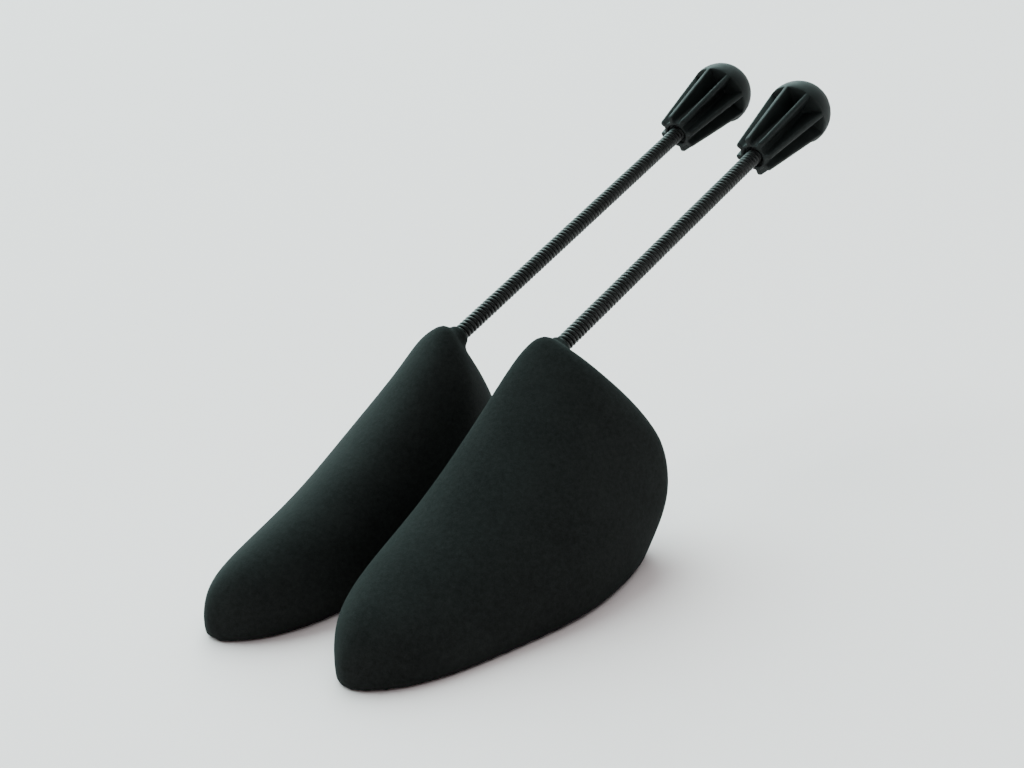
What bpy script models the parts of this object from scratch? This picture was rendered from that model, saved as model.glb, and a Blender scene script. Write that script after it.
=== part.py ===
# A pair of shoe shapers: foam foreparts, coil spring rods and ribbed heel knobs
#
# Each shaper is modelled in its own frame: the toe is at y = 0, the flat sole is at
# z = 0 and x = 0 lies near the middle. The two foreparts mirror each other.

import math

import bmesh
import bpy
from mathutils import Vector

# Forepart, the foam block that fills the front of the shoe
FOREPART_LENGTH = 0.160
FOREPART_HEIGHT = 0.092
KEEL_OFFSET = 0.010
OUTER_WIDTH = 0.044
INNER_WIDTH = 0.025
SOLE_TRIM = 0.0080
TOE_CORE_SIDE = 0.0099
TOE_CORE_HEIGHT = 0.0054
REAR_CORE_SIDE = 0.0187
REAR_CORE_HEIGHT = 0.0418
NECK_RADIUS = 0.0064
NECK_DEPTH = 0.012
NECK_ROUNDING = 0.0022

# Where the rod leaves the forepart, as shares of its length and height, how steeply it
# rises, and how far it stands inward of the frame's middle plane
EXIT_PLACE_SHARE = 0.855
EXIT_HEIGHT_SHARE = 0.95
ROD_RISE = math.radians(20.8)
ROD_INWARD = 0.0010

# Spring rod, one closely wound wire
COIL_DIAMETER = 0.0070
WIRE_DIAMETER = 0.0017
TURN_PITCH = 0.0040
TURN_POINTS = 8
LEFT_REACH = 0.1405
RIGHT_REACH = 0.1602

# Anchor socket, moulded into the foam round the front end of the spring
SOCKET_DEPTH = 0.0065
SOCKET_SEAT = 0.010
SOCKET_FLOOR = 0.002
SOCKET_WALL = 0.0010
SOCKET_BARB = 0.0004
SOCKET_BARBS = 5
SOCKET_PIN = 0.007

# Heel knob, a ribbed cone under a dome
KNOB_BASE_RADIUS = 0.0091
KNOB_DOME_RADIUS = 0.0152
KNOB_DOME_CENTRE = 0.0400
KNOB_RIBS = 8
RIB_THICKNESS = 0.0020
RIB_CORNER = 0.0010
POCKET_BELOW_CENTRE = 0.0015
HUB_RADIUS = 0.0052
HUB_BASE_RADIUS = 0.0068
HUB_RECESS = 0.0015
HUB_LIP = 0.0012
HUB_MOUTH = 0.0008
HUB_OVERRUN = 0.0020
KNOB_BORE_DEPTH = 0.0150
RIB_TURN = math.radians(-3)

# Knob spigot, the pin that holds the rear end of the spring in the knob
SPIGOT_COLLAR = 0.0015
SPIGOT_PIN = 0.0080
SPIGOT_STEM = 0.0080
SPIGOT_STEM_RADIUS = 0.0020
SPIGOT_BARB = 0.0004
SPIGOT_BARBS = 4

# The pair
PAIR_SPACING = 0.055
PAIR_STAGGER = 0.0077

# Gap left between pieces that touch or seat in each other, and overrun of cutters
FIT_GAP = 0.0003
OVERRUN = 0.010

# Points of a turned shape closer than this become one
WELD = 0.000001

# Places of the two bends along the part of the rod that shows
BEND_PLACE_SHARE = 0.30
SWAY_PLACE_SHARE = 0.72

# Facets
KNOB_STEPS = 32
SOCKET_STEPS = 20
SPIGOT_STEPS = 16
BORE_STEPS = 24
DOME_POINTS = 9
CORNER_POINTS = 3
SOFT_LEVELS = 2

# Stations of the forepart, from toe to heel, one row each: place at the sole and at
# the crest (of the length), height (of the height), outer side (of the outer width),
# inner side and crest's distance from the middle plane (of the inner width), how far
# the station bulges towards the heel halfway up (of the length), and how much of its
# width is tucked in at the sole
STATION_SHARES = (
    (0.015, 0.023, 0.182, 0.203, 0.364, 0.409, 0.000, 0.000),
    (0.078, 0.067, 0.274, 0.467, 0.735, 0.252, 0.000, 0.000),
    (0.183, 0.192, 0.362, 0.678, 1.010, 0.079, 0.000, 0.000),
    (0.347, 0.389, 0.499, 0.812, 1.071, -0.032, 0.000, 0.000),
    (0.545, 0.596, 0.736, 0.971, 1.019, -0.152, 0.000, 0.000),
    (0.686, 0.732, 0.935, 0.864, 0.945, -0.170, 0.046, 0.000),
    (0.800, 0.797, 1.017, 0.813, 0.858, -0.074, 0.007, 0.100),
    (0.898, 0.853, 0.896, 0.753, 0.588, 0.163, 0.082, 0.267),
)
TOE_CORE_SHARE = -0.007
REAR_CORE_SHARE = 1.032

# Cross-section of the forepart, from the middle of the sole up one side to the crest:
# share of the side's width and share of the height
SECTION_SHARES = (
    (0.00, 0.00),
    (0.78, 0.00),
    (1.00, 0.16),
    (1.02, 0.46),
    (0.80, 0.80),
    (0.36, 0.99),
    (0.00, 1.03),
)

# Radii and depths that follow from the sizes above
WIRE_RADIUS = WIRE_DIAMETER / 2
COIL_RADIUS = COIL_DIAMETER / 2
TURN_RADIUS = COIL_RADIUS - WIRE_RADIUS
PIN_RADIUS = TURN_RADIUS * math.cos(math.pi / TURN_POINTS) - WIRE_RADIUS - FIT_GAP
BORE_RADIUS = (COIL_RADIUS + FIT_GAP) / math.cos(math.pi / BORE_STEPS)
SOCKET_BORE = (COIL_RADIUS + FIT_GAP) / math.cos(math.pi / SOCKET_STEPS)
SOCKET_RADIUS = SOCKET_BORE + SOCKET_WALL + SOCKET_BARB
SOCKET_FLOOR_DEPTH = SOCKET_DEPTH + SOCKET_SEAT
SOCKET_FRONT = SOCKET_FLOOR_DEPTH + SOCKET_FLOOR
COLLAR_TOP = KNOB_BORE_DEPTH - FIT_GAP
COLLAR_BOTTOM = COLLAR_TOP - SPIGOT_COLLAR
KNOB_LENGTH = KNOB_DOME_CENTRE + KNOB_DOME_RADIUS


def clear_scene():
    for item in list(bpy.data.objects):
        bpy.data.objects.remove(item, do_unlink=True)


def new_collection(name):
    group = bpy.data.collections.new(name)
    bpy.context.scene.collection.children.link(group)
    return group


def material(name, colour, roughness, metallic=0.0):
    made = bpy.data.materials.new(name)
    made.use_nodes = True
    shader = made.node_tree.nodes["Principled BSDF"]
    shader.inputs["Base Color"].default_value = (*colour, 1.0)
    shader.inputs["Roughness"].default_value = roughness
    shader.inputs["Metallic"].default_value = metallic
    made.diffuse_color = (*colour, 1.0)
    return made


def empty(name, parent=None, location=(0, 0, 0), rotation=(0, 0, 0)):
    made = bpy.data.objects.new(name, None)
    made.empty_display_size = COIL_DIAMETER
    made.parent = parent
    made.location = location
    made.rotation_euler = rotation
    PARTS.objects.link(made)
    return made


def place(item, parent, location=(0, 0, 0), turn=0.0):
    item.parent = parent
    item.location = location
    item.rotation_euler = (0, 0, turn)


def add_object(name, data, group, look=None):
    made = bpy.data.objects.new(name, data)
    group.objects.link(made)
    if look is not None:
        data.materials.append(look)
    return made


def as_cutter(item):
    item.hide_render = True
    item.display_type = "WIRE"
    return item


def boolean(item, other, operation):
    step = item.modifiers.new(operation.lower() + "_" + other.name, "BOOLEAN")
    step.operation = operation
    step.solver = "EXACT"
    step.object = other


# A turned shape: the profile runs from the top of the axis down its outer side
def turned(name, profile, steps, group, look=None):
    bm = bmesh.new()
    corners = [bm.verts.new((radius, 0, height)) for radius, height in profile]
    for first, second in zip(corners, corners[1:]):
        bm.edges.new((first, second))
    data = bpy.data.meshes.new(name)
    bm.to_mesh(data)
    bm.free()
    made = add_object(name, data, group, look)
    spin = made.modifiers.new("turn", "SCREW")
    spin.axis = "Z"
    spin.steps = steps
    spin.render_steps = steps
    spin.use_merge_vertices = True
    spin.merge_threshold = WELD
    spin.use_smooth_shade = True
    return made


def arc(centre, radius, start, end, points):
    steps = [start + (end - start) * i / (points - 1) for i in range(points)]
    return [
        (centre[0] + radius * math.cos(a), centre[1] + radius * math.sin(a))
        for a in steps
    ]


# The forepart's coarse cage, one closed ring of points at each station
def station_ring(station, side):
    sole, crest, height, outer, inner, lean, belly, tuck = station
    half = [(share, up, 1) for share, up in SECTION_SHARES]
    ring = half + [(share, up, -1) for share, up, _ in half[-2:0:-1]]
    points = []
    for share, up, way in ring:
        width = outer * OUTER_WIDTH if way > 0 else inner * INNER_WIDTH
        low = 1 - min(up, 1)
        width *= 1 - tuck * low**3
        keel = KEEL_OFFSET * (1 - up) + lean * INNER_WIDTH * up
        bulge = 4 * belly * up * low
        along = (sole + (crest - sole) * up + bulge) * FOREPART_LENGTH
        rise = up * height * FOREPART_HEIGHT - (1 - up) * SOLE_TRIM
        points.append(Vector((side * (keel + way * share * width), along, rise)))
    return points


def forepart_mesh(name, side):
    bm = bmesh.new()
    rings = []
    for station in STATION_SHARES:
        rings.append([bm.verts.new(point) for point in station_ring(station, side)])
    count = len(rings[0])
    for front, back in zip(rings, rings[1:]):
        for i in range(count):
            j = (i + 1) % count
            bm.faces.new((front[i], front[j], back[j], back[i]))
    toe_y = TOE_CORE_SHARE * FOREPART_LENGTH
    rear_y = REAR_CORE_SHARE * FOREPART_LENGTH
    toe = bm.verts.new((side * TOE_CORE_SIDE, toe_y, TOE_CORE_HEIGHT))
    rear = bm.verts.new((side * REAR_CORE_SIDE, rear_y, REAR_CORE_HEIGHT))
    for i in range(count):
        j = (i + 1) % count
        bm.faces.new((rings[0][j], rings[0][i], toe))
        bm.faces.new((rings[-1][i], rings[-1][j], rear))
    bmesh.ops.recalc_face_normals(bm, faces=bm.faces)
    data = bpy.data.meshes.new(name)
    bm.to_mesh(data)
    bm.free()
    data.shade_smooth()
    return data


def sole_cutter(name, frame):
    bm = bmesh.new()
    bmesh.ops.create_cube(bm, size=1)
    wide = 2 * (OUTER_WIDTH + INNER_WIDTH)
    long = FOREPART_LENGTH + 2 * OVERRUN
    deep = SOLE_TRIM + OVERRUN
    bmesh.ops.scale(bm, vec=(wide, long, deep), verts=bm.verts)
    bmesh.ops.translate(bm, vec=(0, FOREPART_LENGTH / 2, -deep / 2), verts=bm.verts)
    data = bpy.data.meshes.new(name)
    bm.to_mesh(data)
    bm.free()
    made = as_cutter(add_object(name, data, CUTTERS))
    place(made, frame)
    return made


# The rounded foam neck round the rod where it leaves the forepart
def neck_form(name, rod):
    centre = (NECK_RADIUS - NECK_ROUNDING, -NECK_ROUNDING)
    corner = arc(centre, NECK_ROUNDING, math.pi / 2, 0, CORNER_POINTS)
    profile = [(0, 0)] + corner + [(NECK_RADIUS, -NECK_DEPTH), (0, -NECK_DEPTH)]
    made = as_cutter(turned(name, profile, BORE_STEPS, CUTTERS))
    place(made, rod)
    return made


# The hollow in the foam: a bore for the spring and a wider room for the socket
def bore_cutter(name, rod):
    room = (SOCKET_RADIUS + FIT_GAP) / math.cos(math.pi / BORE_STEPS)
    front = -SOCKET_FRONT - FIT_GAP
    rear = -SOCKET_DEPTH + FIT_GAP
    profile = (
        (0, OVERRUN),
        (BORE_RADIUS, OVERRUN),
        (BORE_RADIUS, rear),
        (room, rear),
        (room, front),
        (0, front),
    )
    made = as_cutter(turned(name, profile, BORE_STEPS, CUTTERS))
    place(made, rod)
    return made


def forepart(foot, side, frame, rod, look):
    name = foot + "_forepart"
    made = add_object(name, forepart_mesh(name, side), PARTS, look)
    place(made, frame)
    soften = made.modifiers.new("soft_form", "SUBSURF")
    soften.levels = SOFT_LEVELS
    soften.render_levels = SOFT_LEVELS
    boolean(made, neck_form(foot + "_neck_form", rod), "UNION")
    boolean(made, sole_cutter(foot + "_sole_cutter", frame), "DIFFERENCE")
    boolean(made, bore_cutter(foot + "_bore_cutter", rod), "DIFFERENCE")
    return made


# The socket's outside has barbs, so that the foam grips it
def anchor_socket(foot, rod, look):
    rear = -SOCKET_DEPTH
    floor = -SOCKET_FLOOR_DEPTH
    front = -SOCKET_FRONT
    step = (rear - front) / SOCKET_BARBS
    profile = [
        (0, floor + SOCKET_PIN),
        (PIN_RADIUS, floor + SOCKET_PIN),
        (PIN_RADIUS, floor),
        (SOCKET_BORE, floor),
        (SOCKET_BORE, rear),
    ]
    for i in range(SOCKET_BARBS):
        profile.append((SOCKET_RADIUS, rear - i * step))
        profile.append((SOCKET_RADIUS - SOCKET_BARB, rear - (i + 1) * step))
    profile.append((0, front))
    made = turned(foot + "_anchor_socket", profile, SOCKET_STEPS, PARTS, look)
    place(made, rod)
    return made


# The wire of the spring: straight for one wire diameter at each end, a helix between
def spring_points(reach):
    low = -SOCKET_FLOOR_DEPTH + FIT_GAP
    high = reach + COLLAR_BOTTOM - FIT_GAP
    first = low + WIRE_DIAMETER
    last = high - WIRE_DIAMETER
    steps = round((last - first) / TURN_PITCH * TURN_POINTS)
    helix = []
    for i in range(steps + 1):
        angle = math.tau * i / TURN_POINTS
        height = first + (last - first) * i / steps
        across = TURN_RADIUS * math.cos(angle)
        helix.append(Vector((across, TURN_RADIUS * math.sin(angle), height)))
    start = Vector((helix[0].x, helix[0].y, low))
    end = Vector((helix[-1].x, helix[-1].y, high))
    return [start] + helix + [end]


# Least gap between turns of the wire, measured between points half a turn or more apart
def least_gap(points):
    apart = TURN_POINTS // 2 + 1
    window = 2 * TURN_POINTS
    nearest = min(
        (points[i] - points[j]).length
        for i in range(len(points))
        for j in range(i + apart, min(i + window, len(points)))
    )
    return nearest - WIRE_DIAMETER


def spring_rod(foot, reach, rod, bend, look):
    name = foot + "_spring_rod"
    points = spring_points(reach)
    data = bpy.data.curves.new(name, "CURVE")
    data.dimensions = "3D"
    data.bevel_depth = WIRE_RADIUS
    data.bevel_resolution = 1
    data.use_fill_caps = True
    wire = data.splines.new("POLY")
    wire.points.add(len(points) - 1)
    for slot, point in zip(wire.points, points):
        slot.co = (*point, 1)
    made = add_object(name, data, PARTS, look)
    place(made, bend, -bend.location)
    turns = (len(points) - 3) / TURN_POINTS
    print(name, "turns", round(turns, 1), "least gap mm", round(least_gap(points) * 1000, 2))
    return made


# The knob's profile: dome, cone tangent to it, rounded rib ends, hub and stepped bore
def knob_profile():
    away = math.hypot(KNOB_BASE_RADIUS, KNOB_DOME_CENTRE)
    inward = math.atan2(KNOB_BASE_RADIUS, KNOB_DOME_CENTRE)
    slope = math.asin(KNOB_DOME_RADIUS / away) - inward
    centre = (0, KNOB_DOME_CENTRE)
    dome = arc(centre, KNOB_DOME_RADIUS, math.pi / 2, -slope, DOME_POINTS)
    dome[0] = (0, KNOB_LENGTH)
    corner_centre = (KNOB_BASE_RADIUS - RIB_CORNER, RIB_CORNER)
    corner = arc(corner_centre, RIB_CORNER, -slope, -math.pi / 2, CORNER_POINTS)
    stem = SPIGOT_STEM_RADIUS + FIT_GAP
    stem_end = KNOB_BORE_DEPTH + SPIGOT_STEM + FIT_GAP
    bore = (COIL_RADIUS + FIT_GAP) / math.cos(math.pi / KNOB_STEPS)
    lip = bore + HUB_LIP
    inside = [
        (lip, 0),
        (lip, HUB_RECESS),
        (bore + HUB_MOUTH, HUB_RECESS),
        (bore, HUB_RECESS + HUB_MOUTH),
        (bore, KNOB_BORE_DEPTH),
        (stem, KNOB_BORE_DEPTH),
        (stem, stem_end),
        (0, stem_end),
    ]
    return dome + corner + inside


# Plan of one pocket at one height, from the hub out past the dome
def pocket_plan(middle, hub, height):
    far = KNOB_DOME_RADIUS + OVERRUN
    half = math.pi / KNOB_RIBS
    near = half - math.asin(RIB_THICKNESS / 2 / hub)
    wide = half - math.asin(RIB_THICKNESS / 2 / far)
    corners = ((hub, -near), (hub, near), (far, wide), (far, -wide))
    return [
        (r * math.cos(middle + a), r * math.sin(middle + a), height) for r, a in corners
    ]


# One cutter for all pockets between the ribs. Its inner side slopes, so that the hub
# is thicker at its base
def pocket_cutter(name, parent):
    bm = bmesh.new()
    top = KNOB_DOME_CENTRE - POCKET_BELOW_CENTRE
    flare = (HUB_BASE_RADIUS - HUB_RADIUS) / top
    bottom_hub = HUB_BASE_RADIUS + flare * HUB_OVERRUN
    for i in range(KNOB_RIBS):
        middle = (2 * i + 1) * math.pi / KNOB_RIBS
        low = [bm.verts.new(point) for point in pocket_plan(middle, bottom_hub, -HUB_OVERRUN)]
        high = [bm.verts.new(point) for point in pocket_plan(middle, HUB_RADIUS, top)]
        bm.faces.new(low)
        bm.faces.new(high)
        for first, second, third, fourth in zip(low, low[1:] + low[:1], high[1:] + high[:1], high):
            bm.faces.new((first, second, third, fourth))
    bmesh.ops.recalc_face_normals(bm, faces=bm.faces)
    data = bpy.data.meshes.new(name)
    bm.to_mesh(data)
    bm.free()
    made = as_cutter(add_object(name, data, CUTTERS))
    place(made, parent)
    return made


def knob(foot, seat, look):
    made = turned(foot + "_knob", knob_profile(), KNOB_STEPS, PARTS, look)
    place(made, seat)
    boolean(made, pocket_cutter(foot + "_pocket_cutter", seat), "DIFFERENCE")
    return made


def knob_spigot(foot, seat, look):
    stem_end = KNOB_BORE_DEPTH + SPIGOT_STEM
    step = SPIGOT_STEM / SPIGOT_BARBS
    profile = [(0, stem_end)]
    for i in range(SPIGOT_BARBS):
        profile.append((SPIGOT_STEM_RADIUS - SPIGOT_BARB, stem_end - i * step))
        profile.append((SPIGOT_STEM_RADIUS, stem_end - (i + 1) * step))
    profile += [
        (SPIGOT_STEM_RADIUS, COLLAR_TOP),
        (COIL_RADIUS, COLLAR_TOP),
        (COIL_RADIUS, COLLAR_BOTTOM),
        (PIN_RADIUS, COLLAR_BOTTOM),
        (PIN_RADIUS, COLLAR_BOTTOM - SPIGOT_PIN),
        (0, COLLAR_BOTTOM - SPIGOT_PIN),
    ]
    made = turned(foot + "_knob_spigot", profile, SPIGOT_STEPS, PARTS, look)
    place(made, seat)
    return made


# One shaper: everything stands on the shaper's frame, the rod's frame or a bend axis
def shaper(foot, side, reach, forward):
    frame = empty(foot + "_frame", None, (side * PAIR_SPACING / 2, -forward, 0))
    exit_y = EXIT_PLACE_SHARE * FOREPART_LENGTH
    exit_z = EXIT_HEIGHT_SHARE * FOREPART_HEIGHT
    tilt = (ROD_RISE - math.pi / 2, 0, 0)
    exit_place = (-side * ROD_INWARD, exit_y, exit_z)
    rod = empty(foot + "_rod_frame", frame, exit_place, tilt)
    bend = empty(foot + "_bend_axis", rod, (0, 0, BEND_PLACE_SHARE * reach))
    rest = (SWAY_PLACE_SHARE - BEND_PLACE_SHARE) * reach
    sway = empty(foot + "_sway_axis", bend, (0, 0, rest))
    seat = empty(foot + "_knob_seat", sway, (0, 0, (1 - SWAY_PLACE_SHARE) * reach))
    seat.rotation_euler = (0, 0, RIB_TURN)
    forepart(foot, side, frame, rod, LOOKS["foam"])
    anchor_socket(foot, rod, LOOKS["socket"])
    spring_rod(foot, reach, rod, bend, LOOKS["spring"])
    knob_spigot(foot, seat, LOOKS["spigot"])
    knob(foot, seat, LOOKS["knob"])
    return bend, sway


# The pair's middle, measured back from the toe of the left shaper
def pair_middle():
    run = math.cos(ROD_RISE)
    exit_y = EXIT_PLACE_SHARE * FOREPART_LENGTH
    left = exit_y + (LEFT_REACH + KNOB_DOME_CENTRE) * run
    right = exit_y + (RIGHT_REACH + KNOB_DOME_CENTRE) * run - PAIR_STAGGER
    return (max(left, right) + KNOB_DOME_RADIUS - PAIR_STAGGER) / 2


def report(foot, bend, sway):
    bpy.context.view_layer.update()
    for name, axis in (("bend", bend), ("sway", sway)):
        spot = [round(value, 5) for value in axis.matrix_world.translation]
        print(foot, name, "axis passes through", spot)


clear_scene()
PARTS = new_collection("shoe_shapers")
CUTTERS = new_collection("cutters")
LOOKS = {
    "foam": material("flocked_foam", (0.010, 0.013, 0.012), 0.85),
    "socket": material("socket_plastic", (0.060, 0.062, 0.064), 0.50),
    "spring": material("black_spring_wire", (0.020, 0.021, 0.022), 0.35, 0.9),
    "spigot": material("spigot_plastic", (0.050, 0.052, 0.055), 0.45),
    "knob": material("black_knob_plastic", (0.012, 0.014, 0.014), 0.42),
}
MIDDLE = pair_middle()
report("left", *shaper("left", 1, LEFT_REACH, MIDDLE))
report("right", *shaper("right", -1, RIGHT_REACH, MIDDLE + PAIR_STAGGER))
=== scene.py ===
# %% [markdown]
# A pair of shoe shapers: each is a foam forepart that fills the front of a shoe, a
# closely wound spring that bends, and a ribbed knob that presses on the heel.
# The packed model gives the bodies and the joints. This lesson dresses it: every piece
# that shows is built here in finer form, and the foreparts and knobs ride on the bodies
# that carry them.

# %% Load the packed model
import math

import bmesh
import bpy
from mathutils import Matrix, Vector


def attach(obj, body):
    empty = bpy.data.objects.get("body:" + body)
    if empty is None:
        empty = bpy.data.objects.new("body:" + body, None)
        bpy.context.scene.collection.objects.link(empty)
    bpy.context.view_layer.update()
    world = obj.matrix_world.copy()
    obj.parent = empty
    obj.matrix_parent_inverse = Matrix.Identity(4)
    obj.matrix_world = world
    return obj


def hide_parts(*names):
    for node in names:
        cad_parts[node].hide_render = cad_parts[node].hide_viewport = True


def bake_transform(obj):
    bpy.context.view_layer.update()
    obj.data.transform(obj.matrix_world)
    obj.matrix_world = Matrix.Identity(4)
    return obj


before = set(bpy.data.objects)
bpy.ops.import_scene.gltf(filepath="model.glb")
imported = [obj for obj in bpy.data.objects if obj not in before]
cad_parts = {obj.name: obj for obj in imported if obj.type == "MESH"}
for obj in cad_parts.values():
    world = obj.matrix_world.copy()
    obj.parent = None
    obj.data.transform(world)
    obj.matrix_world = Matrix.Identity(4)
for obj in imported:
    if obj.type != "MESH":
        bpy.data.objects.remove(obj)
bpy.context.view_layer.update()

# %% [markdown]
# The camera comes first, because every later choice is judged through it. The photograph
# was taken with a normal lens from the outer side of the left shoe's shaper, a little
# above it. The two spring rods run side by side, so the way in which they draw together
# gives the place and the turn of the camera.

# %% Camera
LENS = 50
CAMERA_PLACE = (0.41944, -0.41246, 0.25348)
CAMERA_TURN = (math.radians(71.779), math.radians(6.388), math.radians(45.620))

eye = bpy.data.objects.new("camera", bpy.data.cameras.new("camera"))
bpy.context.scene.collection.objects.link(eye)
eye.data.lens = LENS
eye.location = CAMERA_PLACE
eye.rotation_euler = CAMERA_TURN
bpy.context.scene.camera = eye
print("camera looks along", eye.matrix_basis.to_quaternion() @ Vector((0, 0, -1)))

# %% [markdown]
# A material is a sum of small steps: a noise here, a share of it there, a mix of two
# colours. Written as plain arithmetic they are easy to read, so one small class holds the
# output of a node and adds the next node when it meets a plus, a minus or a star. Values
# go through Math nodes. Colours go through a Mix node, because a Math node turns a colour
# grey.


# %% Arithmetic on shader sockets
def plug(tree, inputs, sockets):
    for name, value in sockets.items():
        if isinstance(value, Wire):
            tree.links.new(value.socket, inputs[name])
        else:
            inputs[name].default_value = value


class Wire:
    def __init__(self, tree, socket=None):
        self.tree = tree
        self.socket = socket

    def node(self, kind, settings, sockets, output=0):
        made = self.tree.nodes.new(kind)
        for name, value in settings.items():
            setattr(made, name, value)
        plug(self.tree, made.inputs, sockets)
        return Wire(self.tree, made.outputs[output])

    def maths(self, operation, first, second):
        return self.node("ShaderNodeMath", {"operation": operation}, {0: first, 1: second})

    def __add__(self, other):
        return self.maths("ADD", self, other)

    __radd__ = __add__

    def __sub__(self, other):
        return self.maths("SUBTRACT", self, other)

    def __rsub__(self, other):
        return self.maths("SUBTRACT", other, self)

    def __mul__(self, other):
        return self.maths("MULTIPLY", self, other)

    __rmul__ = __mul__

    def between(self, low, high):
        sockets = {"Value": self, "From Min": low, "From Max": high}
        return self.node("ShaderNodeMapRange", {}, sockets)

    def colours(self, low, high):
        settings = {"data_type": "RGBA"}
        return self.node("ShaderNodeMix", settings, {0: self, 6: low, 7: high}, 2)

    def grain(self, size, detail):
        sockets = {"Vector": self, "Scale": 1 / size, "Detail": detail}
        return self.node("ShaderNodeTexNoise", {}, sockets)

    def bump(self, depth, strength):
        sockets = {"Height": self, "Distance": depth, "Strength": strength}
        return self.node("ShaderNodeBump", {}, sockets)


print("operators", [name for name in vars(Wire) if name.startswith("__r")])

# %% [markdown]
# Each finish is a Principled shader with a noise or two in front of it. The noises are
# measured in metres on the object itself, so that they stay on the piece when it moves.


# %% A new finish
def new_finish(name):
    finish = bpy.data.materials.new(name)
    finish.use_nodes = True
    tree = finish.node_tree
    place = Wire(tree).node("ShaderNodeTexCoord", {}, {}, "Object")
    return finish, tree.nodes["Principled BSDF"], place


def feed(shader, **sockets):
    named = {name.replace("_", " "): value for name, value in sockets.items()}
    plug(shader.id_data, shader.inputs, named)


print("a finish starts from a", bpy.types.ShaderNodeBsdfPrincipled.bl_rna.name)

# %% [markdown]
# The foam is covered with flock, short fibres that stand on end like velvet. It drinks
# nearly all light, so its colour is close to black, it has next to no gloss, and a trace
# of sheen lifts it where it is seen along the surface. Three sizes of noise make the nap:
# the clouds that handling leaves, small felted tufts, and the fibres themselves. The last
# two also roughen the surface.

# %% Flocked foam
FLOCK_DEEP = (0.0073, 0.0079, 0.0076, 1)
FLOCK_PALE = (0.0184, 0.0199, 0.0193, 1)
FLOCK_SHEEN = (0.50, 0.72, 0.69, 1)
FLOCK_ROUGHNESS = 0.85
CLOUD_SIZE, CLOUD_SHARE = 0.020, 0.25
TUFT_SIZE, TUFT_SHARE = 0.0018, 0.40
FIBRE_SIZE, FIBRE_SHARE = 0.0005, 0.35
NAP_RANGE = (0.30, 0.70)
NAP_DEPTH = 0.00025

flock, shader, place = new_finish("flocked_foam")
clouds = place.grain(CLOUD_SIZE, 3.0)
tufts = place.grain(TUFT_SIZE, 3.0)
fibres = place.grain(FIBRE_SIZE, 1.0)
nap = clouds * CLOUD_SHARE + tufts * TUFT_SHARE + fibres * FIBRE_SHARE
nap = nap.between(*NAP_RANGE)
height = fibres * 0.5 + tufts * 0.5
feed(
    shader,
    Base_Color=nap.colours(FLOCK_DEEP, FLOCK_PALE),
    Roughness=FLOCK_ROUGHNESS + nap * 0.1,
    Normal=height.bump(NAP_DEPTH, 0.8),
)
feed(shader, Sheen_Weight=0.02, Sheen_Roughness=0.40, Sheen_Tint=FLOCK_SHEEN)
feed(shader, Specular_IOR_Level=0.03)
print("flock nodes", len(flock.node_tree.nodes))

# %% [markdown]
# The spring is steel wire blackened in an oil bath. The black hides the metal, so the
# shader isn't metallic. Only a faint gloss is left on the crown of each turn, and the
# wire's drawn surface breaks it up a little.

# %% Blackened steel wire
WIRE_DEEP = (0.006, 0.0062, 0.006, 1)
WIRE_WORN = (0.015, 0.0155, 0.015, 1)
WIRE_ROUGHNESS = 0.30
PATCH_SIZE = 0.004
PATCH_RANGE = (0.35, 0.70)
DRAWN_SIZE = 0.0003
DRAWN_DEPTH = 0.00002

steel, shader, place = new_finish("blackened_steel")
patches = place.grain(PATCH_SIZE, 2.0).between(*PATCH_RANGE)
drawn = place.grain(DRAWN_SIZE, 1.0)
feed(
    shader,
    Base_Color=patches.colours(WIRE_DEEP, WIRE_WORN),
    Roughness=WIRE_ROUGHNESS + patches * 0.12 + drawn * 0.06,
    Normal=drawn.bump(DRAWN_DEPTH, 0.5),
)
feed(shader, Metallic=0.0, Specular_IOR_Level=0.22)
print("steel nodes", len(steel.node_tree.nodes))

# %% [markdown]
# The knobs are moulded in black plastic. The mould was spark-eroded, which leaves a fine
# even grain, and hands have rubbed it a little smoother in places. The socket and the
# spigot are moulded too. They sit inside, in a plainer and slightly greyer plastic.

# %% Moulded plastics
KNOB_DEEP = (0.0060, 0.0078, 0.0075, 1)
KNOB_PALE = (0.0095, 0.0120, 0.0116, 1)
KNOB_ROUGHNESS, KNOB_SPARK = 0.58, 0.0005
INNER_DEEP = (0.045, 0.047, 0.050, 1)
INNER_PALE = (0.060, 0.062, 0.066, 1)
INNER_ROUGHNESS, INNER_SPARK = 0.45, 0.0004
RUBBED_SIZE = 0.009
RUBBED_RANGE = (0.35, 0.65)
SPARK_DEPTH = 0.00003


def moulded(name, deep, pale, roughness, spark_size):
    finish, shader, place = new_finish(name)
    rubbed = place.grain(RUBBED_SIZE, 2.0).between(*RUBBED_RANGE)
    spark = place.grain(spark_size, 1.0)
    feed(
        shader,
        Base_Color=rubbed.colours(deep, pale),
        Roughness=roughness + rubbed * 0.10 + spark * 0.08,
        Normal=spark.bump(SPARK_DEPTH, 0.6),
    )
    feed(shader, Specular_IOR_Level=0.20)
    print(name, "nodes", len(finish.node_tree.nodes))
    return finish


knob_black = moulded("black_knob_plastic", KNOB_DEEP, KNOB_PALE, KNOB_ROUGHNESS, KNOB_SPARK)
inner_grey = moulded("inner_plastic", INNER_DEEP, INNER_PALE, INNER_ROUGHNESS, INNER_SPARK)

# %% [markdown]
# Both shapers share one set of sizes, in metres. They are the sizes of the packed model,
# so that each finer piece sits where its solid is. The left shoe's shaper stands on the
# positive side. The other is its mirror image, a little nearer the toes, and its spring
# is longer. Each shaper, rod and knob gets a frame of its own, in which it is easy to
# draw: the rod's runs along the spring from where it leaves the foam.

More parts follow.
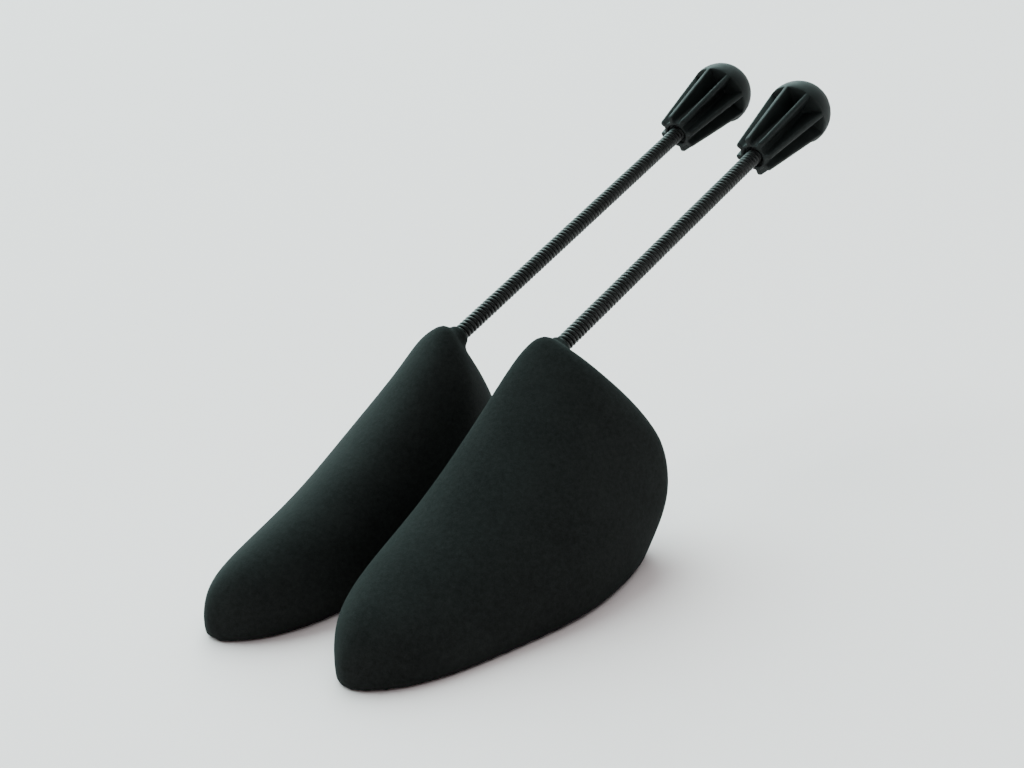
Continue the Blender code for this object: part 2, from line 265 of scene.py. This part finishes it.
# %% Sizes and places
LENGTH = 0.160
HEIGHT = 0.092
KEEL = 0.010
OUTER = 0.044
INNER = 0.025
TRIM = 0.0080
EXIT = (0.855 * LENGTH, 0.95 * HEIGHT)
RISE = math.radians(20.8)
ROD_INWARD = 0.0010
REACH = {"left": 0.1405, "right": 0.1602}
SIDE = {"left": 1, "right": -1}
SPACING = 0.055
STAGGER = 0.0077
DOME_CENTRE = 0.0400
DOME_RADIUS = 0.0152
RIB_TURN = math.radians(-3)

far_end = EXIT[0] + (REACH["right"] + DOME_CENTRE) * math.cos(RISE) - STAGGER
MIDDLE = (far_end + DOME_RADIUS - STAGGER) / 2


def shaper_frame(foot):
    forward = MIDDLE if foot == "left" else MIDDLE + STAGGER
    return Matrix.Translation((SIDE[foot] * SPACING / 2, -forward, 0))


def rod_frame(foot):
    tilt = Matrix.Rotation(RISE - math.pi / 2, 4, "X")
    place = Matrix.Translation((-SIDE[foot] * ROD_INWARD, *EXIT))
    return shaper_frame(foot) @ place @ tilt


def knob_frame(foot):
    turn = Matrix.Rotation(RIB_TURN, 4, "Z")
    return rod_frame(foot) @ Matrix.Translation((0, 0, REACH[foot])) @ turn


for foot in SIDE:
    print(foot, "rod leaves the foam at", rod_frame(foot).translation)

# %% [markdown]
# Every piece below is a mesh made in code, most of them as a stack of rings that are
# joined by faces. These helpers make such a mesh, turn a profile about an axis as a lathe
# does, cut one mesh with another, and clean up what a cut leaves behind.

# %% Mesh helpers
SAME_POINT = 0.000002


def mesh_object(name, points, faces, finish=None, matrix=None):
    data = bpy.data.meshes.new(name)
    data.from_pydata([tuple(point) for point in points], [], faces)
    if matrix is not None:
        data.transform(matrix)
    data.shade_smooth()
    made = bpy.data.objects.new(name, data)
    bpy.context.scene.collection.objects.link(made)
    if finish is not None:
        data.materials.append(finish)
    return made


def rings_to_faces(count, around, closed_ends=True):
    faces = []
    for k in range(count - 1):
        low, high = k * around, (k + 1) * around
        for i in range(around):
            j = (i + 1) % around
            faces.append((low + i, low + j, high + j, high + i))
    if closed_ends:
        faces.append(tuple(range(around))[::-1])
        faces.append(tuple(range((count - 1) * around, count * around)))
    return faces


def tidy_normals(made):
    bm = bmesh.new()
    bm.from_mesh(made.data)
    bmesh.ops.remove_doubles(bm, verts=bm.verts, dist=SAME_POINT)
    bmesh.ops.recalc_face_normals(bm, faces=bm.faces)
    bm.to_mesh(made.data)
    bm.free()


# A cut leaves long thin faces along its edge. They are split and melted away
def melt_slivers(made, reach):
    bm = bmesh.new()
    bm.from_mesh(made.data)
    bmesh.ops.triangulate(bm, faces=bm.faces)
    bmesh.ops.remove_doubles(bm, verts=bm.verts, dist=reach)
    bmesh.ops.dissolve_degenerate(bm, edges=bm.edges, dist=reach)
    bmesh.ops.triangulate(bm, faces=bm.faces)
    bm.to_mesh(made.data)
    bm.free()


def turned(name, profile, steps, matrix):
    points = [
        (r * math.cos(a), r * math.sin(a), z)
        for r, z in profile
        for a in (math.tau * i / steps for i in range(steps))
    ]
    made = mesh_object(name, points, rings_to_faces(len(profile), steps), None, matrix)
    tidy_normals(made)
    return made


def block(name, low, high):
    across, along, up = zip(low, high)
    corners = [(x, y, z) for x in across for y in along for z in up]
    sides = [(0, 1, 3, 2), (4, 6, 7, 5), (0, 4, 5, 1), (2, 3, 7, 6), (0, 2, 6, 4), (1, 5, 7, 3)]
    return mesh_object(name, corners, sides)


# The modifiers' result becomes the mesh itself
def settle(made):
    view = bpy.context.evaluated_depsgraph_get()
    view.update()
    data = bpy.data.meshes.new_from_object(made.evaluated_get(view))
    made.modifiers.clear()
    made.data = data


def carve(made, tool, operation):
    step = made.modifiers.new(operation.lower(), "BOOLEAN")
    step.operation = operation
    step.solver = "EXACT"
    step.object = tool
    settle(made)
    bpy.data.objects.remove(tool, do_unlink=True)


print("a tube of 3 rings has", len(rings_to_faces(3, 8)), "faces")

# %% [markdown]
# The forepart is moulded foam with no flat place but the sole. A coarse cage of eight
# rings, from the toe to the heel end, is the usual way to get such a form from few
# numbers. Each ring is one closed outline that stands across the foot, and is given as
# shares of the forepart's length, height and widths.

# %% Cage of the forepart
# Sole, crest, height, outer, inner, lean, belly and tuck of each ring
STATION_SHARES = (
    (0.015, 0.023, 0.182, 0.203, 0.364, 0.409, 0.000, 0.000),
    (0.078, 0.067, 0.274, 0.467, 0.735, 0.252, 0.000, 0.000),
    (0.183, 0.192, 0.362, 0.678, 1.010, 0.079, 0.000, 0.000),
    (0.347, 0.389, 0.499, 0.812, 1.071, -0.032, 0.000, 0.000),
    (0.545, 0.596, 0.736, 0.971, 1.019, -0.152, 0.000, 0.000),
    (0.686, 0.732, 0.935, 0.864, 0.945, -0.170, 0.046, 0.000),
    (0.800, 0.797, 1.017, 0.813, 0.858, -0.074, 0.007, 0.100),
    (0.898, 0.853, 0.896, 0.753, 0.588, 0.163, 0.082, 0.267),
)
# Half of a ring: how far out and how far up
SECTION_SHARES = (
    (0.00, 0.00),
    (0.78, 0.00),
    (1.00, 0.16),
    (1.02, 0.46),
    (0.80, 0.80),
    (0.36, 0.99),
    (0.00, 1.03),
)
TOE_CORE = (0.0099, -0.007 * LENGTH, 0.0054)
HEEL_CORE = (0.0187, 1.032 * LENGTH, 0.0418)


def cage_ring(station, side):
    sole, crest, height, outer, inner, lean, belly, tuck = station
    half = [(share, up, 1) for share, up in SECTION_SHARES]
    ring = half + [(share, up, -1) for share, up, _ in half[-2:0:-1]]
    points = []
    for share, up, way in ring:
        width = outer * OUTER if way > 0 else inner * INNER
        low = 1 - min(up, 1)
        width *= 1 - tuck * low**3
        x = KEEL * (1 - up) + lean * INNER * up + way * share * width
        y = (sole + (crest - sole) * up + 4 * belly * up * low) * LENGTH
        points.append((side * x, y, up * height * HEIGHT - (1 - up) * TRIM))
    return points


def cage(foot):
    side = SIDE[foot]
    points = [point for station in STATION_SHARES for point in cage_ring(station, side)]
    around = 2 * len(SECTION_SHARES) - 2
    faces = rings_to_faces(len(STATION_SHARES), around, closed_ends=False)
    last = len(points) - around
    for core in (TOE_CORE, HEEL_CORE):
        points.append((side * core[0], core[1], core[2]))
    for i in range(around):
        j = (i + 1) % around
        faces.append((j, i, len(points) - 2))
        faces.append((last + i, last + j, len(points) - 1))
    return mesh_object(foot + "_foam_forepart", points, faces, flock, shaper_frame(foot))


print("the cage has", len(STATION_SHARES), "rings of", 2 * len(SECTION_SHARES) - 2, "points")

# %% [markdown]
# The cage carries a subdivision surface, which rounds it. Four small pushes finish the
# form: the crest's end rises beside the rod, the heel end swells a little above and draws
# in below, and the toe comes forward. The neck round the rod is joined on, the sole is
# cut flat, and then the whole is remeshed in fine cubes and smoothed, so that all its
# corners turn soft as foam corners do. The bore for the spring and the socket is cut last
# and stays crisp.

# %% Foam foreparts
CAGE_LEVELS = 3
# The place from the rod's exit, the push, and its spread
PUSHES = (
    ((-0.0010, -0.0075, 0.0038), (0, 0, 0.0019), 0.0044),
    ((0.0320, 0.0169, -0.0454), (0.00112, 0.00114, 0), 0.0160),
    ((0.0368, 0.0050, -0.0850), (-0.00168, -0.00170, 0), 0.0100),
    ((0.0110, -0.1380, -0.0770), (0, -0.00130, 0), 0.0140),
)
NECK_PROFILE = (
    (0, 0),
    (0.0042, 0),
    (0.0048, -0.0006),
    (0.0051, -0.0020),
    (0.0068, -0.012),
    (0, -0.012),
)
BORE_PROFILE = (
    (0, 0.010),
    (0.0038, 0.010),
    (0.0038, -0.0062),
    (0.0056, -0.0062),
    (0.0056, -0.0188),
    (0, -0.0188),
)
LATHE_STEPS = 48
BELOW_SOLE = ((-0.5, -0.5, -0.03), (0.5, 0.5, 0))
FOAM_GRID = 0.0012
EASE, EASE_ROUNDS = 0.5, 8
SLIVER = 0.00003


def forepart(foot):
    made = cage(foot)
    tidy_normals(made)
    soft = made.modifiers.new("soft", "SUBSURF")
    soft.levels = soft.render_levels = CAGE_LEVELS
    settle(made)
    for (x, y, z), (right, back, up), spread in PUSHES:
        place = rod_frame(foot).translation + Vector((SIDE[foot] * x, y, z))
        push = Vector((SIDE[foot] * right, back, up))
        for point in made.data.vertices:
            away = (point.co - place).length / spread
            point.co += push * math.exp(-away * away / 2)
    carve(made, turned("neck", NECK_PROFILE, LATHE_STEPS, rod_frame(foot)), "UNION")
    carve(made, block("sole", *BELOW_SOLE), "DIFFERENCE")
    grid = made.modifiers.new("grid", "REMESH")
    grid.mode = "VOXEL"
    grid.voxel_size = FOAM_GRID
    ease = made.modifiers.new("ease", "SMOOTH")
    ease.factor = EASE
    ease.iterations = EASE_ROUNDS
    settle(made)
    carve(made, turned("bore", BORE_PROFILE, LATHE_STEPS, rod_frame(foot)), "DIFFERENCE")
    melt_slivers(made, SLIVER)
    made.data.materials.clear()
    made.data.materials.append(flock)
    made.data.shade_smooth()
    return made


for foot in SIDE:
    foam = forepart(foot)
    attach(foam, foot + "_shaper")
    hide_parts(foot + "_forepart")
    print(foam.name, len(foam.data.polygons), "faces")

# %% [markdown]
# The real spring is wound so closely that its turns nearly touch. The packed model has
# fewer and wider turns, because it has to stay light. Here the wire has about one turn
# every two millimetres, nearly as close as in the photograph. Its ends stand on the
# socket's floor and under the spigot's collar. The rod bends in two ways, once up and
# down and once sideways, so the wire is made in two lengths that meet in the middle.
# Both lengths are left straight.

# %% Spring rods
COIL = 0.0073
WIRE = 0.00190
PITCH = 0.00197
SEAT = 0.0155
KNOB_SEAT = 0.0122
BEND_SHARE = 0.30
SWAY_SHARE = 0.72
JOIN_SHARE = 0.51
AROUND_TURN = 24
AROUND_WIRE = 10


def wound_wire(name, low, high, matrix):
    turn_radius = (COIL - WIRE) / 2
    slope = math.atan2(PITCH, math.tau * turn_radius)
    steps = round((high - low) / PITCH * AROUND_TURN)
    points = []
    for k in range(steps + 1):
        z = low + (high - low) * k / steps
        a = math.tau * z / PITCH
        out = Vector((math.cos(a), math.sin(a), 0))
        flat = math.cos(slope)
        along = Vector((-math.sin(a) * flat, math.cos(a) * flat, math.sin(slope)))
        up = along.cross(out)
        centre = out * turn_radius + Vector((0, 0, z))
        for i in range(AROUND_WIRE):
            b = math.tau * i / AROUND_WIRE
            points.append(centre + (out * math.cos(b) + up * math.sin(b)) * WIRE / 2)
    faces = rings_to_faces(steps + 1, AROUND_WIRE)
    made = mesh_object(name, points, faces, steel, matrix)
    tidy_normals(made)
    return made


def along_rod(foot, distance):
    return rod_frame(foot) @ Vector((0, 0, distance))


for foot in SIDE:
    reach = REACH[foot]
    join = JOIN_SHARE * reach
    front = wound_wire(foot + "_spring_front", -SEAT, join, rod_frame(foot))
    spread = (JOIN_SHARE - BEND_SHARE) * reach
    bend = BEND_SHARE * reach
    ends = [along_rod(foot, bend - spread), along_rod(foot, bend + spread)]
    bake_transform(front)
    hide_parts(foot + "_spring_rod")
    rear = wound_wire(foot + "_spring_rear", join, reach + KNOB_SEAT, rod_frame(foot))
    sway = SWAY_SHARE * reach
    ends = [along_rod(foot, sway - spread), along_rod(foot, sway + spread)]
    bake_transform(rear)
    print(foot, "spring has", round((reach + SEAT + KNOB_SEAT) / PITCH), "turns")

# %% [markdown]
# The knob is a dome on a cone that has been hollowed between eight thin ribs, so that the
# plastic is equally thick everywhere and cools without sinking. The cone's side is the
# straight line that just touches the dome. The hub between the ribs narrows from the base
# to the pockets' tops. All heights are measured from the packed knob's base. The finer
# knob's own base starts a little higher.

# %% Knob sizes and outline
BASE_RADIUS = 0.0094
BASE_END = 0.0017
END_CORNER = 0.0010
HUB_BASE = 0.0068
HUB_TOP = 0.0052
POCKET_TOP = DOME_CENTRE - 0.0015

away = math.hypot(BASE_RADIUS, DOME_CENTRE)
SLOPE = math.asin(DOME_RADIUS / away) - math.atan2(BASE_RADIUS, DOME_CENTRE)
TANGENT = DOME_CENTRE - DOME_RADIUS * math.sin(SLOPE)


def knob_radius(z):
    if z > TANGENT:
        return math.sqrt(max(DOME_RADIUS**2 - (z - DOME_CENTRE) ** 2, 0))
    corner = min(max(BASE_END + END_CORNER - z, 0), END_CORNER)
    short = END_CORNER - math.sqrt(END_CORNER**2 - corner**2)
    return BASE_RADIUS + z * math.tan(SLOPE) - short


def hub_radius(z):
    return HUB_BASE + (HUB_TOP - HUB_BASE) * min(z / POCKET_TOP, 1)


print("the knob's side leans", round(math.degrees(SLOPE), 1), "degrees")

# %% [markdown]
# One section of the knob follows land, corner, flank, root and pocket floor of a rib,
# with small radii at all edges, because they catch the light. Half a rib is enough. It is
# mirrored and turned eight times. At the pockets' tops the same points are spread over a
# full circle, so that no faces have to be cut.

# %% Section of the ribs
RIBS = 8
RIB_HALF = 0.0012
EDGE = 0.0008
ROOT = 0.0006
ARC_STEPS = 3
LAND_STEPS = 3
FLANK_SHARES = (0.35, 0.7)
CORNER_END = LAND_STEPS + ARC_STEPS
HALF_PITCH = math.pi / RIBS


# From the middle of the land to the middle of the pocket. The rib may be drawn in a
# little thinner than it is, for its rounded end
def half_section(z, thin=0.0, round_share=1.0):
    radius = knob_radius(z)
    half = RIB_HALF - thin
    edge = EDGE * round_share
    hub = hub_radius(z) - thin / 2
    flat = half - edge
    points = []
    for i in range(LAND_STEPS):
        y = flat * i / LAND_STEPS
        points.append((math.sqrt(radius**2 - y**2), y))
    centre = math.sqrt(radius**2 - flat**2) - edge
    for i in range(ARC_STEPS + 1):
        a = math.pi / 2 * i / ARC_STEPS
        points.append((centre + edge * math.cos(a), flat + edge * math.sin(a)))
    root_y = half + ROOT
    root_x = math.sqrt((hub + ROOT) ** 2 - root_y**2)
    for share in FLANK_SHARES:
        points.append((centre + (root_x - centre) * share, half))
    lean = math.atan2(root_y, root_x)
    for i in range(ARC_STEPS + 1):
        a = -math.pi / 2 - (math.pi / 2 - lean) * i / ARC_STEPS
        points.append((root_x + ROOT * math.cos(a), root_y + ROOT * math.sin(a)))
    for i in range(1, ARC_STEPS + 1):
        a = lean + (HALF_PITCH - lean) * i / ARC_STEPS
        points.append((hub * math.cos(a), hub * math.sin(a)))
    return points


def full_section(half):
    one = [(x, -y) for x, y in half[:0:-1]] + half[:-1]
    ring = []
    for k in range(RIBS):
        c, s = math.cos(2 * HALF_PITCH * k), math.sin(2 * HALF_PITCH * k)
        ring += [(x * c - y * s, x * s + y * c) for x, y in one]
    return ring


# The lands stay, the pockets open out
def open_section(half, radius, share):
    first = math.atan2(half[CORNER_END][1], half[CORNER_END][0])
    count = len(half) - 1
    moved = []
    for i, (x, y) in enumerate(half):
        angle = math.atan2(y, x)
        if i > CORNER_END:
            angle = first + (HALF_PITCH - first) * (i - CORNER_END) / (count - CORNER_END)
        goal = (radius * math.cos(angle), radius * math.sin(angle))
        moved.append((x + (goal[0] - x) * share, y + (goal[1] - y) * share))
    return moved


print("a section has", len(full_section(half_section(POCKET_TOP / 2))), "points")

# %% [markdown]
# The knob is one stack of such sections. It starts deep inside, at the end of the hole
# for the spigot's stem, comes out through the bore and the recess, turns round the base
# and climbs the ribs. Near the pockets' tops the sections open out a little, as a ceiling
# with a soft corner, and then all the way to the dome.

# %% Rings of the knob
STEM = 0.0023
STEM_DEPTH = 0.0233
BORE = 0.00382
BORE_DEPTH = 0.0150
MOUTH = 0.0008
HUB_RECESS = 0.0022
RECESS_RADIUS = 0.0053
# How far out and how far up at the recess's lip
RECESS_LIP = ((0, 0.0003), (0.0001, 0.0001), (0.0003, 0))
# Rise, how much thinner, and share of the full edge radius at the ribs' rounded ends
RIB_ENDS = ((0, 0.00040, 0.4), (0.00012, 0.00018, 0.7), (0.0004, 0, 1), (0.0008, 0, 1))
RIB_RINGS = 14
CEILING = 0.0012
CEILING_RINGS = 5
CEILING_SPREAD = 0.13
# Rise and share of the full circle at the dome's rim
RIM = ((0, 0.5), (0, 0.92), (0.0001, 0.98), (0.0004, 1.0))
DOME_RINGS = 14
DOME_TIP = 0.02


def knob_rings():
    rings = []

    def add(section, z):
        rings.append([(x, y, z) for x, y in full_section(section)])

    def circle(radius, z):
        angles = [math.atan2(y, x) for x, y in half_section(BASE_END)]
        add([(radius * math.cos(a), radius * math.sin(a)) for a in angles], z)

    circle(STEM, STEM_DEPTH)
    circle(STEM, BORE_DEPTH)
    circle(BORE, BORE_DEPTH)
    recess = BASE_END + HUB_RECESS
    circle(BORE, recess + MOUTH)
    circle(BORE + MOUTH, recess)
    circle(RECESS_RADIUS, recess)
    for out, rise in RECESS_LIP:
        circle(RECESS_RADIUS + out, BASE_END + rise)
    for rise, thin, share in RIB_ENDS:
        add(half_section(BASE_END + rise, thin, share), BASE_END + rise)
    floor = POCKET_TOP - CEILING
    for i in range(RIB_RINGS + 1):
        z = BASE_END + END_CORNER + (floor - BASE_END - END_CORNER) * i / RIB_RINGS
        add(half_section(z), z)
    for i in range(1, CEILING_RINGS + 1):
        a = math.pi / 2 * i / CEILING_RINGS
        z = floor + CEILING * math.sin(a)
        share = CEILING_SPREAD * (1 - math.cos(a))
        add(open_section(half_section(z), knob_radius(z), share), z)
    top = half_section(POCKET_TOP)
    for rise, share in RIM:
        z = POCKET_TOP + rise
        add(open_section(top, knob_radius(z), share), z)
    wide = open_section(top, knob_radius(POCKET_TOP), 1.0)
    start = math.asin((POCKET_TOP + RIM[-1][0] - DOME_CENTRE) / DOME_RADIUS)
    for i in range(1, DOME_RINGS + 1):
        a = start + (math.pi / 2 - DOME_TIP - start) * i / DOME_RINGS
        scale = DOME_RADIUS * math.cos(a) / math.hypot(*wide[0])
        add([(x * scale, y * scale) for x, y in wide], DOME_CENTRE + DOME_RADIUS * math.sin(a))
    return rings


print("the knob has", len(knob_rings()), "rings")

# %% [markdown]
# Both knobs come out of one mould, so they are the same mesh in two places. Edges that
# turn by more than the given angle stay sharp, all others are shaded smooth.

# %% Ribbed knobs
SHARP_ANGLE = math.radians(50)


def knob(foot):
    rings = knob_rings()
    points = [point for ring in rings for point in ring]
    faces = rings_to_faces(len(rings), len(rings[0]))
    made = mesh_object(foot + "_ribbed_knob", points, faces, knob_black, knob_frame(foot))
    tidy_normals(made)
    made.data.set_sharp_from_angle(angle=SHARP_ANGLE)
    return made


for foot in SIDE:
    piece = knob(foot)
    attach(piece, foot + "_heel")
    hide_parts(foot + "_knob")
    print(piece.name, len(piece.data.polygons), "faces")

# %% [markdown]
# The anchor socket inside the foam and the spigot inside the knob are right as solids.
# They keep their meshes and only get the inner plastic.

# %% Inner pieces
for foot in SIDE:
    for part in ("_anchor_socket", "_knob_spigot"):
        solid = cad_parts[foot + part]
        solid.data.materials.clear()
        solid.data.materials.append(inner_grey)
        print(solid.name, "is in", inner_grey.name)

# %% [markdown]
# The photograph is a cut-out on white, so the floor is a very large sheet of pale paper.
# It is slightly warm, so that the cool light shows it white. A pale band of haze low in
# the sky hides its far edge when the camera looks along it. Above the band the sky is
# nearly dark, so that it adds little light of its own.

# %% Floor and sky
FLOOR = 40.0
FLOOR_DROP = 0.0004
PAPER_DEEP = (0.95, 0.76, 0.77, 1)
PAPER_PALE = (0.97, 0.78, 0.79, 1)
PAPER_ROUGHNESS = 0.9
HAZE_LOW = 0.09
HAZE_TOP = 0.14
DARK_SKY = (0.02, 0.02, 0.02, 1)
PALE_SKY = (1, 1, 1, 1)

paper, shader, place = new_finish("pale_paper")
uneven = place.grain(0.6, 1.0)
feed(shader, Base_Color=uneven.colours(PAPER_DEEP, PAPER_PALE))
feed(shader, Roughness=PAPER_ROUGHNESS + uneven * 0.05)
corners = [(-FLOOR, -FLOOR, 0), (FLOOR, -FLOOR, 0), (FLOOR, FLOOR, 0), (-FLOOR, FLOOR, 0)]
floor = mesh_object("floor", corners, [(0, 1, 2, 3)], paper)
floor.location.z = -FLOOR_DROP

sky = bpy.data.worlds.new("studio")
bpy.context.scene.world = sky
sky.use_nodes = True
aim = Wire(sky.node_tree).node("ShaderNodeTexCoord", {}, {}, "Generated")
height = aim.node("ShaderNodeSeparateXYZ", {}, {0: aim}, 2)
haze = 1 - height.between(HAZE_LOW, HAZE_TOP)
feed(sky.node_tree.nodes["Background"], Color=haze.colours(DARK_SKY, PALE_SKY), Strength=2.0)
print("floor is", 2 * FLOOR, "metres wide")

# %% [markdown]
# The lights are sun lamps with a wide angle. Such a lamp acts as a huge soft box and is
# equally strong everywhere, so the paper stays even up to the horizon. The main one comes
# from beyond the toes, low and cool, and draws the grey-green line along the ridges. Weak
# ones behind the heels and overhead round off the domes, and a faint one stands beside
# the camera.

# %% Light
SUN_SPREAD = math.radians(80)
COOL = (0.70, 1.0, 0.97)
PALE_COOL = (0.86, 1.0, 0.985)
WHITE = (1, 1, 1)


def soft_sun(name, place, strength, colour):
    lamp = bpy.data.lights.new(name, "SUN")
    lamp.angle = SUN_SPREAD
    lamp.energy = strength
    lamp.color = colour
    made = bpy.data.objects.new(name, lamp)
    made.rotation_euler = Vector(place).to_track_quat("Z", "Y").to_euler()
    bpy.context.scene.collection.objects.link(made)
    print(name, "comes from", place)


soft_sun("window_light", (-0.8, 0.2, 0.6), 9.6, COOL)
soft_sun("heel_light", (-0.3, 0.8, 0.6), 2.0, PALE_COOL)
soft_sun("ceiling_light", (0, 0, 1), 1.2, PALE_COOL)
soft_sun("camera_side_light", (0.6, -0.7, 0.5), 0.2, WHITE)
